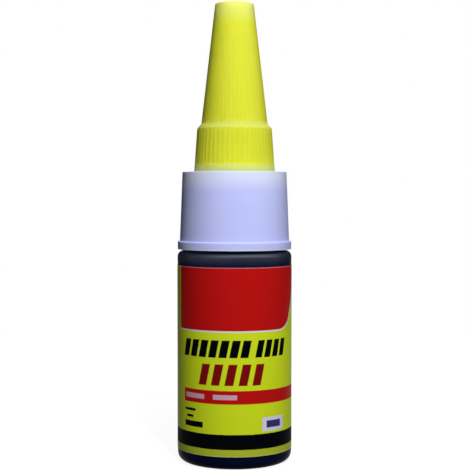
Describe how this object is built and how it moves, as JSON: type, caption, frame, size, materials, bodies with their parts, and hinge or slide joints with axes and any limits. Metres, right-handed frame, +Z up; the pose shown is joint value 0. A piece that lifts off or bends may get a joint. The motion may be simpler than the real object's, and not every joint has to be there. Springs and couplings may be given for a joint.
{
  "type": "adhesive dropper bottle",
  "caption": "Upright squeeze bottle of instant adhesive with a wrap label, a push-fit nozzle closure with a tapered spout, and a tall fluted screw cap with a sealing pin.",
  "frame": {"origin": "centre of the flat ring that the bottle stands on", "axes": "+Z up along the bottle's axis, front of the label towards -Y, +X to the right of the front"},
  "size_m": [0.0268, 0.0267, 0.1068],
  "materials": {
    "bottle_plastic": "glossy black blow-moulded polyethylene",
    "adhesive_liquid": "clear liquid",
    "label_film": "printed gloss film in yellow-green, red and black",
    "closure_plastic": "translucent satin polyethylene",
    "cap_plastic": "satin yellow polyethylene with moulded flutes",
    "pin_steel": "bright drawn wire"
  },
  "bodies": {
    "bottle": {"bottle": "bottle_plastic", "adhesive": "adhesive_liquid", "label": "label_film", "nozzle_closure": "closure_plastic"},
    "cap_pin": {"cap_pin": "pin_steel"},
    "cap": {"cap": "cap_plastic"}
  },
  "joints": [
    {"name": "cap_lift", "type": "slide", "parent": "bottle", "child": "cap_pin", "axis": [0, 0, 1], "range_m": [0, 0.04]},
    {"name": "cap_turn", "type": "hinge", "parent": "cap_pin", "child": "cap", "pos_m": [0, 0, 0.0678], "axis": [0, 0, 1], "range_deg": [0, 720]}
  ]
}
